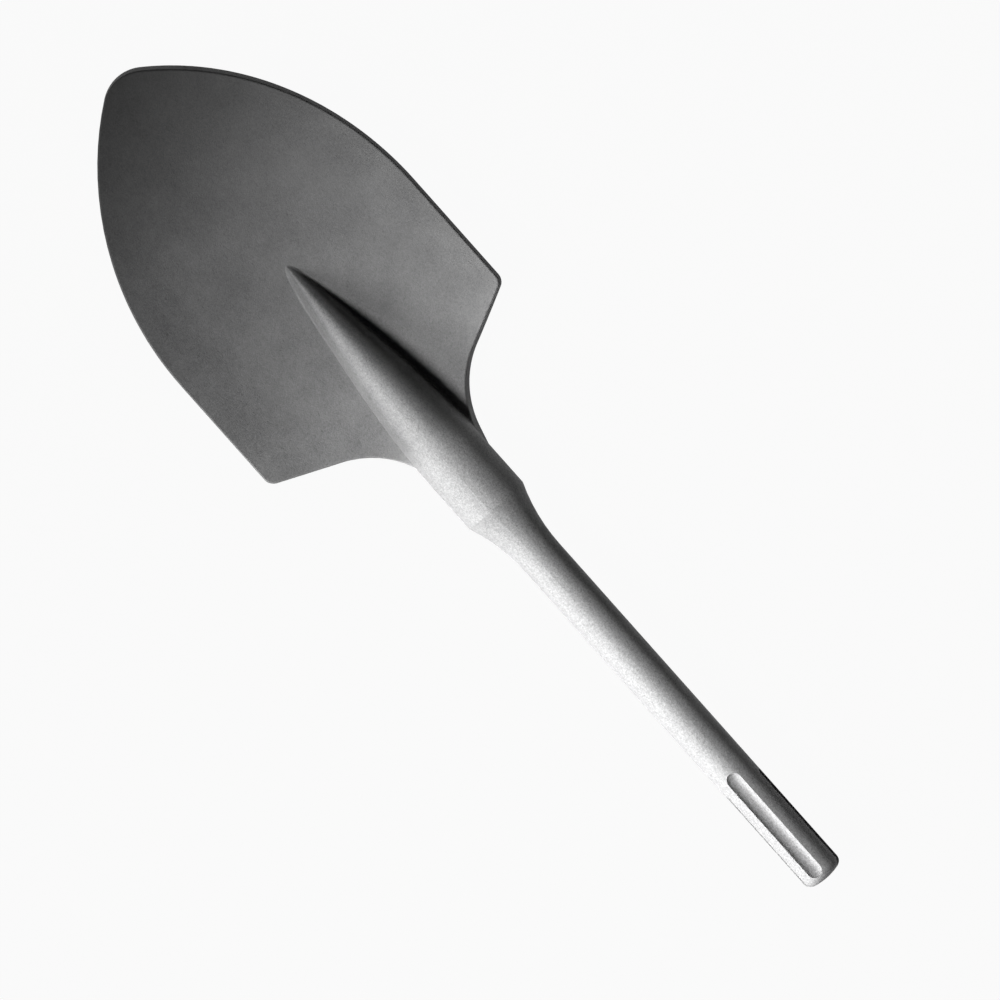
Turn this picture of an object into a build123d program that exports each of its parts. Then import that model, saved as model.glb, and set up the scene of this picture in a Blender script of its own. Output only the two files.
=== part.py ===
from build123d import *
from math import asin, cos, degrees, radians, sin, sqrt, tan
import os

os.makedirs("parts", exist_ok=True)

# Frame: the long axis is X, with the blade at +X and its hollow face up (+Z).
# The origin lies on the shank axis, at the mouth of the hammer's holder.

# Shank, millimetres
shank_diameter = 18.0
holder_depth = 100.0
holder_to_neck = 74.5
end_dome_radius = 25.0
end_rounding = 3.5

# Closed locking grooves, above and below
lock_radius = 3.6
lock_axis_height = 10.0
lock_from_end = 2.8
lock_length = 55.7

# Open drive slots on the flanks
drive_width = 4.0
drive_depth = 2.4
drive_length = 52.0
drive_angles = (-90.0, 70.0, 110.0)

# Neck and socket
neck_length = 28.5
socket_diameter = 29.0
socket_length = 30.0
root_overlap = 28.0

# Rib that runs out on the blade, and where its rings stand, as shares of its length
rib_length = 104.0
rib_stations = (0.0, 0.3, 0.55, 0.75, 0.9, 1.0)
rib_toe_radius = 1.0
rib_toe_sink = 1.6
rib_foot_fillet = 1.2

# Blade outline
blade_width = 129.4
blade_reach = 334.5
nose_radius = 16.0
side_radius = 131.0
straight_side = 54.0
shoulder_angle = 67.9
shoulder_rounding = 4.0
throat_radius = 42.0
web_half_width = 12.9
web_angle = 16.0

# Blade section
dish_radius = 280.0
dish_depth_below_axis = 3.6
centre_thickness = 5.5
edge_thickness = 3.2
edge_draft = 12.0
edge_rounding = 0.7
upsweep_radius = 1000.0

# Working sizes: what the blank has over the outline, the trimmer's reach and the tests on edges
blank_margin = 8.0
trimmer_reach = 40.0
steep = 0.6
near = 0.01

shank_radius = shank_diameter / 2
socket_radius = socket_diameter / 2
half_width = blade_width / 2
struck_end = -holder_depth
neck_start = holder_to_neck
neck_end = neck_start + neck_length
socket_end = neck_end + socket_length

# Shank, neck and socket, turned about X
dome_drop = end_dome_radius - sqrt(end_dome_radius**2 - shank_radius**2)
dome_edge = (struck_end + dome_drop, shank_radius)
dome_middle = (
    struck_end + end_dome_radius - sqrt(end_dome_radius**2 - (shank_radius / 2) ** 2),
    shank_radius / 2,
)
neck_rise = socket_radius - shank_radius
neck_curve = (neck_length**2 + neck_rise**2) / (2 * neck_rise)
neck_half_turn = asin(neck_length / neck_curve) / 2
neck_middle = (
    neck_start + neck_curve * sin(neck_half_turn),
    shank_radius + neck_curve * (1 - cos(neck_half_turn)),
)

# Outline points, seen from above
nose_centre = blade_reach - nose_radius
side_centre_y = half_width - side_radius
arc_gap = side_radius - nose_radius
side_start = nose_centre - sqrt(arc_gap**2 - side_centre_y**2)
nose_share = side_radius / arc_gap
nose_join = (
    side_start + (nose_centre - side_start) * nose_share,
    side_centre_y * (1 - nose_share),
)
side_turn = asin((nose_join[0] - side_start) / side_radius) / 2
side_middle = (
    side_start + side_radius * sin(side_turn),
    side_centre_y + side_radius * cos(side_turn),
)
shoulder = side_start - straight_side
web_start = socket_end - root_overlap
web_slope = tan(radians(web_angle))
shoulder_slope = tan(radians(shoulder_angle))
web_half_start = web_half_width - web_slope * root_overlap
throat = (
    shoulder_slope * shoulder - half_width + web_half_start - web_slope * web_start
) / (shoulder_slope - web_slope)
throat_half = web_half_start + web_slope * (throat - web_start)

# Heights of the blade's section at its middle and at the edge of the blank
front_middle = -dish_depth_below_axis
back_middle = front_middle - centre_thickness
blank_half = half_width + blank_margin
front_edge = front_middle + dish_radius - sqrt(dish_radius**2 - blank_half**2)
back_edge = front_edge - edge_thickness
draft_plane = front_middle + dish_radius - sqrt(dish_radius**2 - half_width**2)
upsweep_turn = degrees(asin((blade_reach - side_start + blank_margin) / upsweep_radius))
blank_start = web_start - blank_margin


# The rib's crest is level at the socket and falls faster towards the toe
toe_height = front_middle - rib_toe_sink


def rib_crest(share):
    return socket_radius - (socket_radius - toe_height) * share**2


def rib_radius(share):
    return socket_radius - (socket_radius - rib_toe_radius) * share**1.5


def rib_centre(share):
    return rib_crest(share) - rib_radius(share)


# The outline with drafted edges, as a block that trims the blank
with BuildPart() as trimmer:
    with BuildSketch(Plane.XY.offset(draft_plane)) as outline:
        with BuildLine():
            Line((web_start, -web_half_start), (web_start, web_half_start))
            Line((web_start, web_half_start), (throat, throat_half))
            Line((throat, throat_half), (shoulder, half_width))
            Line((shoulder, half_width), (side_start, half_width))
            ThreePointArc((side_start, half_width), side_middle, nose_join)
            ThreePointArc(nose_join, (blade_reach, 0), (nose_join[0], -nose_join[1]))
            ThreePointArc(
                (nose_join[0], -nose_join[1]),
                (side_middle[0], -side_middle[1]),
                (side_start, -half_width),
            )
            Line((side_start, -half_width), (shoulder, -half_width))
            Line((shoulder, -half_width), (throat, -throat_half))
            Line((throat, -throat_half), (web_start, -web_half_start))
        make_face()
        inner = outline.vertices().filter_by(lambda p: abs(p.X - throat) < near)
        fillet(inner, radius=throat_radius)
        outer = outline.vertices().filter_by(lambda p: abs(p.X - shoulder) < near)
        fillet(outer, radius=shoulder_rounding)
    extrude(amount=trimmer_reach, taper=edge_draft)
    extrude(outline.sketch, amount=-trimmer_reach, taper=-edge_draft)


# The edges where the rib meets the hollow face
def is_rib_foot(edge):
    middle = edge @ 0.5
    on_rib = socket_end < middle.X < socket_end + rib_length and abs(middle.Y) < socket_radius
    return on_rib and middle.Z > toe_height and edge.length > socket_radius / 2


with BuildPart() as spade_chisel:
    # Dished blank: straight behind, swept up towards the nose
    with BuildSketch(Plane.YZ.offset(side_start)) as section:
        with BuildLine():
            ThreePointArc((-blank_half, front_edge), (0, front_middle), (blank_half, front_edge))
            Line((blank_half, front_edge), (blank_half, back_edge))
            ThreePointArc((blank_half, back_edge), (0, back_middle), (-blank_half, back_edge))
            Line((-blank_half, back_edge), (-blank_half, front_edge))
        make_face()
    extrude(amount=-(side_start - blank_start))
    sweep_axis = Axis((side_start, 0, front_middle + upsweep_radius), (0, 1, 0))
    revolve(section.sketch, axis=sweep_axis, revolution_arc=-upsweep_turn)
    add(trimmer.part, mode=Mode.INTERSECT)
    walls = spade_chisel.faces().filter_by(lambda f: abs(f.normal_at(f.center()).Z) < steep)
    rim = ShapeList(e for wall in walls for e in wall.edges() if abs((e % 0.5).Z) < steep)
    fillet(rim.filter_by(lambda e: e.center().X > socket_end), radius=edge_rounding)

    # Rib: rings that shrink and sink from the socket to the toe
    for share in rib_stations:
        ring = Plane(
            origin=(socket_end + share * rib_length, 0, rib_centre(share)),
            x_dir=(0, 0, -1),
            z_dir=(1, 0, 0),
        )
        with BuildSketch(ring):
            Circle(rib_radius(share))
    loft()

    # Shank, neck and socket
    with BuildSketch(Plane.XZ) as profile:
        with BuildLine():
            ThreePointArc((struck_end, 0), dome_middle, dome_edge)
            Line(dome_edge, (neck_start, shank_radius))
            ThreePointArc((neck_start, shank_radius), neck_middle, (neck_end, socket_radius))
            Line((neck_end, socket_radius), (socket_end, socket_radius))
            Line((socket_end, socket_radius), (socket_end, 0))
            Line((socket_end, 0), (struck_end, 0))
        make_face()
        rim_corner = profile.vertices().filter_by(lambda p: abs(p.X - dome_edge[0]) < near)
        fillet(rim_corner, radius=end_rounding)
    revolve(axis=Axis.X)

    # Closed locking grooves with ball ends
    for side in (1, -1):
        groove = Plane(
            origin=(struck_end + lock_from_end + lock_radius, 0, side * lock_axis_height),
            x_dir=(0, 1, 0),
            z_dir=(1, 0, 0),
        )
        with BuildSketch(groove):
            Circle(lock_radius)
        extrude(amount=lock_length - 2 * lock_radius, mode=Mode.SUBTRACT)
        for end in (0, lock_length - 2 * lock_radius):
            with Locations((struck_end + lock_from_end + lock_radius + end, 0, side * lock_axis_height)):
                Sphere(lock_radius, mode=Mode.SUBTRACT)

    # Open drive slots
    for angle in drive_angles:
        flank = Plane(
            origin=(struck_end, 0, 0),
            x_dir=(1, 0, 0),
            z_dir=(0, sin(radians(angle)), cos(radians(angle))),
        ).offset(shank_radius - drive_depth)
        with BuildSketch(flank):
            with Locations(((drive_length - drive_width / 2) / 2, 0)):
                Rectangle(drive_length - drive_width / 2, drive_width)
            with Locations((drive_length - drive_width / 2, 0)):
                Circle(drive_width / 2)
        extrude(amount=2 * drive_depth, mode=Mode.SUBTRACT)

    # Foot of the rib, blended into the dish
    feet = spade_chisel.edges().filter_by(is_rib_foot)
    fillet(feet, radius=rib_foot_fillet)

spade_chisel.part.label = "spade_chisel"
print("mm3", round(spade_chisel.part.volume), "faces", len(spade_chisel.part.faces()))
export_step(spade_chisel.part, "parts/spade_chisel.step")
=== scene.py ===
import bpy
import math
from mathutils import Matrix, Vector


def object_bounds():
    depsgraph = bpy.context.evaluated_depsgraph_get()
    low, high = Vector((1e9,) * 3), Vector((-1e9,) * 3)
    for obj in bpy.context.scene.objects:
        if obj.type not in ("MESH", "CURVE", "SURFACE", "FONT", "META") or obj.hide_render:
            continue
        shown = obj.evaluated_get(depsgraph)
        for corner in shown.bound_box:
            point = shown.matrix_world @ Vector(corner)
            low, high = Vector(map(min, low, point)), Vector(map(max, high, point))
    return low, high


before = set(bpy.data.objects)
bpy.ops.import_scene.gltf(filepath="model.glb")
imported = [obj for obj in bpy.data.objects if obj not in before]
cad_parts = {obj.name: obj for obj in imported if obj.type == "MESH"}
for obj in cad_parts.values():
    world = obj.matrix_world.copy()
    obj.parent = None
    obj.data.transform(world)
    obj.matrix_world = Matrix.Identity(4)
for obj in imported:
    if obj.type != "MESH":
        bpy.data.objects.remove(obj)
cadLow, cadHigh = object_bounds()
print("frame loaded")


def deselectAll():
    for o in list(bpy.context.selected_objects):
        o.select_set(False)


class Wire:  # a socket that can be used in an expression
    def __init__(self, shader, socket):
        self.shader, self.socket = shader, socket

    def maths(self, operation, first, second):
        return self.shader.node("ShaderNodeMath", {"operation": operation}, {0: first, 1: second})

    def __add__(self, other):
        return self.maths("ADD", self, other)

    def __radd__(self, other):
        return self.maths("ADD", other, self)

    def __sub__(self, other):
        return self.maths("SUBTRACT", self, other)

    def __rsub__(self, other):
        return self.maths("SUBTRACT", other, self)

    def __mul__(self, other):
        return self.maths("MULTIPLY", self, other)

    def __rmul__(self, other):
        return self.maths("MULTIPLY", other, self)

    def __truediv__(self, other):
        return self.maths("DIVIDE", self, other)

    def __pow__(self, other):
        return self.maths("POWER", self, other)


# Sockets that a Mix node uses when it mixes colours
mixShare, mixFirst, mixSecond, mixResult = 0, 6, 7, 2


class Shader:  # one material and the nodes in it
    def __init__(self, name):
        self.material = bpy.data.materials.new(name)
        self.material.use_nodes = True
        self.tree = self.material.node_tree
        self.tree.nodes.clear()
        self.result = self.tree.nodes.new("ShaderNodeOutputMaterial")

    def node(self, kind, settings=None, sockets=None, out=0):
        made = self.tree.nodes.new(kind)
        for key, value in (settings or {}).items():
            if key == "stops":
                self.setStops(made.color_ramp, value)
            else:
                setattr(made, key, value)
        for key, value in (sockets or {}).items():
            if isinstance(value, Wire):
                self.tree.links.new(value.socket, made.inputs[key])
            else:
                made.inputs[key].default_value = value
        return Wire(self, made.outputs[out])

    def setStops(self, ramp, stops):
        while len(ramp.elements) < len(stops):
            ramp.elements.new(0.5)
        for element, (place, grey) in zip(ramp.elements, stops):
            element.position = place
            element.color = (grey, grey, grey, 1)

    def noise(self, place, look):
        return self.node(
            "ShaderNodeTexNoise",
            {},
            {"Vector": place, "Scale": look["scale"], "Detail": look["detail"], "Roughness": look["rough"]},
        )

    def ramp(self, value, stops):
        return self.node("ShaderNodeValToRGB", {"stops": stops}, {0: value})

    def clamped(self, value):
        return self.node("ShaderNodeClamp", {}, {0: value})

    def mix(self, share, first, second, blend="MIX"):
        return self.node(
            "ShaderNodeMix",
            {"data_type": "RGBA", "blend_type": blend},
            {mixShare: share, mixFirst: first, mixSecond: second},
            out=mixResult,
        )

    def bump(self, height, depth, under=None):
        sockets = {"Strength": 1.0, "Distance": depth, "Height": height}
        if under:
            sockets["Normal"] = under
        return self.node("ShaderNodeBump", {}, sockets)

    def finish(self, surface):
        self.tree.links.new(surface.socket, self.result.inputs["Surface"])
        return self.material


# Where painted shade darkens the blade and the rib's flanks: metres along and across, and shares of the
# rib's half width
bladePaintedShade = {
    "ribStart": 0.133,         # where the rib leaves the socket
    "ribLength": 0.104,
    "ribHalfWidth": 0.0145,
    "ribTaper": 1.6,
    "crestShare": 0.22,        # the rib's crest, left free of painted shade except near the toe
    "flankShare": 0.5,         # over which painted shade darkens its flank
    "footWidth": 0.0006,
    "toeShare": 0.6,           # how much painted shade reaches the toe's crest
    "fadeIn": 0.012,
    "bladeEnd": 0.336,
}


def paintedShadeMask(shader, place):  # painted shade share: 1 on the blade, less on the rib, 0 on the socket and shank
    skin = bladePaintedShade
    along = shader.node("ShaderNodeSeparateXYZ", {}, {"Vector": place}, out="X")
    across = shader.node("ShaderNodeSeparateXYZ", {}, {"Vector": place}, out="Y")
    aside = shader.node("ShaderNodeMath", {"operation": "ABSOLUTE"}, {0: across})
    fromSocket = along - skin["ribStart"]
    ribShare = shader.clamped(fromSocket / skin["ribLength"])
    halfWidth = skin["ribHalfWidth"] * (1 - ribShare ** skin["ribTaper"])
    offCrest = aside - skin["crestShare"] * halfWidth + skin["footWidth"]
    offRib = shader.clamped(offCrest / (skin["flankShare"] * halfWidth + skin["footWidth"]))
    onBlade = shader.clamped(fromSocket / skin["fadeIn"])
    towardsNose = shader.clamped(fromSocket / (skin["bladeEnd"] - skin["ribStart"]))
    return shader.clamped(offRib + skin["toeShare"] * ribShare) * onBlade, towardsNose


# Shot-blasted forged steel: greys, noise scales per metre, bump depths in metres
blastedSteel = {
    "light": (0.68, 0.68, 0.68, 1),
    "dark": (0.30, 0.30, 0.305, 1),
    "scale": (0.16, 0.157, 0.155, 1),
    "clouds": {"scale": 48.0, "detail": 4.0, "rough": 0.62},
    "mottle": {"scale": 240.0, "detail": 5.0, "rough": 0.66},
    "grain": {"scale": 2300.0, "detail": 3.0, "rough": 0.7},
    "dust": {"scale": 1035.0, "detail": 2.0, "rough": 0.6},
    "pits": {"scale": 576.0, "detail": 3.0, "rough": 0.7},
    "cloudShare": 0.15,        # clouds against mottle on the shank
    "bladeClouds": 0.45,       # and how much more of them on the blade
    "blotchShare": 0.12,       # blotches against speckle on the shank
    "bladeBlotches": 0.33,     # and how much more of them on the blade
    "dustShare": 0.35,
    "blotchStops": ((0.34, 0.0), (0.66, 1.0)),
    "speckleStops": ((0.36, 0.0), (0.62, 1.0)),
    "pitStops": ((0.30, 1.0), (0.42, 0.0)),
    # painted shade: greys that darken the blade from its root to the nose
    "paintedBladeShades": ((0.0, 0.62), (0.3, 0.42), (0.62, 0.33), (0.8, 0.2), (1.0, 0.1)),
    "metallic": 0.12,          # the blasted skin of scale hides most of the bare metal
    "roughness": 0.64,
    "roughnessSpread": 0.16,
    "mottleDepth": 0.00010,
    "grainDepth": 0.00010,
    "pitShare": 0.22,
}


def makeBlastedSteel():
    look = blastedSteel
    shader = Shader("blastedForgedSteel")
    place = shader.node("ShaderNodeTexCoord", out="Object")
    # blade: the painted shade mask, also used below for more clouds and blotches on the blade
    blade, towardsNose = paintedShadeMask(shader, place)
    clouds = shader.noise(place, look["clouds"])
    mottle = shader.noise(place, look["mottle"])
    grain = shader.noise(place, look["grain"])
    dust = shader.noise(place, look["dust"])
    pits = shader.ramp(shader.noise(place, look["pits"]), look["pitStops"]) * look["pitShare"]
    cloudShare = look["cloudShare"] + look["bladeClouds"] * blade
    blotches = shader.ramp(clouds * cloudShare + mottle * (1 - cloudShare), look["blotchStops"])
    dusted = grain * (1 - look["dustShare"]) + dust * look["dustShare"]
    speckle = shader.ramp(dusted, look["speckleStops"])
    blotchShare = look["blotchShare"] + look["bladeBlotches"] * blade
    pattern = blotches * blotchShare + speckle * (1 - blotchShare)
    grey = shader.mix(pattern, look["dark"], look["light"])
    grey = shader.mix(pits, grey, look["scale"])
    # Painted shade: the blade's grey is multiplied darker, more towards the nose, and the rib's flanks more
    # than its crest
    grey = shader.mix(blade, grey, shader.ramp(towardsNose, look["paintedBladeShades"]), "MULTIPLY")
    dents = shader.bump(mottle - pits, look["mottleDepth"])
    blasted = shader.bump(grain, look["grainDepth"], dents)
    roughness = look["roughness"] + (mottle + grain - 1) * look["roughnessSpread"]
    return shader.finish(shader.node(
        "ShaderNodeBsdfPrincipled",
        {},
        {"Base Color": grey, "Metallic": look["metallic"], "Roughness": roughness, "Normal": blasted},
    ))


def dressChisel():
    chisel = bpy.data.objects["spade_chisel"]
    chisel.data.materials.clear()
    chisel.data.materials.append(makeBlastedSteel())
    print("chisel dressed")


# The floor: grey where it catches light, near white where it is seen or mirrored
floorLook = {
    "size": 8.0,
    "centreAlong": 0.1,
    "colour": 0.1,
    "whiteShare": 0.95,
    "whiteFor": ("Is Camera Ray", "Is Glossy Ray", "Is Transmission Ray"),
}


def makeFloorPaint():
    shader = Shader("floorPaint")
    grey = floorLook["colour"]
    paint = shader.node("ShaderNodeBsdfDiffuse", {}, {"Color": (grey, grey, grey, 1)})
    white = shader.node("ShaderNodeEmission", {}, {"Color": (1, 1, 1, 1), "Strength": 1.0})
    camera, glossy, through = [shader.node("ShaderNodeLightPath", out=ray) for ray in floorLook["whiteFor"]]
    seen = shader.clamped(camera + glossy + through)
    return shader.finish(
        shader.node("ShaderNodeMixShader", {}, {0: seen * floorLook["whiteShare"], 1: paint, 2: white})
    )


def makeFloor():
    deselectAll()
    bpy.ops.mesh.primitive_plane_add(
        size=floorLook["size"], location=(floorLook["centreAlong"], 0, cadLow.z)
    )
    floor = bpy.context.object
    floor.name = "floor"
    floor.data.materials.append(makeFloorPaint())
    print("floor laid")


def aimAt(thing, target):
    thing.rotation_mode = "QUATERNION"
    thing.rotation_quaternion = (target - thing.location).to_track_quat("-Z", "Y")


# Softboxes: where they stand and what they aim at, their size, beam in degrees and power
softboxes = {
    "keySoftbox": {
        "place": (0.04, 0.93, 0.40), "aim": (-0.06, 0, 0), "size": (0.5, 0.35), "beam": 46.0, "watts": 0.86,
    },
    "bladeSoftbox": {
        "place": (0.17, 0.80, 1.13), "aim": (-0.05, 0, 0), "size": (0.5, 0.5), "beam": 40.0, "watts": 1.25,
    },
}
airStrength = 0.01


def lightScene():
    for name, box in softboxes.items():
        lamp = bpy.data.lights.new(name, "AREA")
        lamp.shape = "RECTANGLE"
        lamp.size, lamp.size_y = box["size"]
        lamp.energy = box["watts"]
        lamp.spread = math.radians(box["beam"])
        holder = bpy.data.objects.new(name, lamp)
        bpy.context.collection.objects.link(holder)
        holder.location = Vector(box["place"])
        aimAt(holder, Vector(box["aim"]))
    world = bpy.data.worlds.new("studioAir")
    world.use_nodes = True
    air = world.node_tree.nodes["Background"]
    air.inputs["Color"].default_value = (1, 1, 1, 1)
    air.inputs["Strength"].default_value = airStrength
    bpy.context.scene.world = world
    print("lamps placed")


# The picture: degrees, metres, and millimetres for the lens and sensor
shot = {
    "axisTurn": 48.34,         # how far the long axis points down to the right
    "roll": 14.0,              # camera's lean off the hollow face, about the long axis
    "pitch": 1.7,              # camera's lean towards the nose
    "centreAlong": 0.10367,    # the picture's centre, along X
    "centreAcross": 0.00263,   # and across, towards the shaded flank
    "width": 0.4072,           # what the picture spans
    "lens": 500.0,
    "sensor": 36.0,
    "farClip": 3.0,            # times the camera's distance
}


def placeCamera():
    roll, pitch = math.radians(shot["roll"]), math.radians(shot["pitch"])
    turn = math.radians(shot["axisTurn"])
    toShank = Vector((-1, 0, 0))
    toShade = Vector((0, -math.cos(roll), -math.sin(roll)))
    lifted = Vector((0, -math.sin(roll), math.cos(roll)))
    toCamera = lifted * math.cos(pitch) - toShank * math.sin(pitch)
    toShankSeen = toShank * math.cos(pitch) + lifted * math.sin(pitch)
    right = toShankSeen * math.cos(turn) + toShade * math.sin(turn)
    up = toShade * math.cos(turn) - toShankSeen * math.sin(turn)
    away = shot["width"] * shot["lens"] / shot["sensor"]
    data = bpy.data.cameras.new("camera")
    data.lens, data.sensor_width = shot["lens"], shot["sensor"]
    data.clip_end = away * shot["farClip"]
    camera = bpy.data.objects.new("camera", data)
    bpy.context.collection.objects.link(camera)
    centre = Vector((shot["centreAlong"], 0, 0)) + toShade * shot["centreAcross"]
    pose = Matrix((right, up, toCamera)).transposed().to_4x4()
    pose.translation = centre + toCamera * away
    camera.matrix_world = pose
    bpy.context.scene.camera = camera
    print("camera placed")


bpy.context.scene.view_settings.view_transform = "Standard"
makeFloor()
dressChisel()
lightScene()
placeCamera()
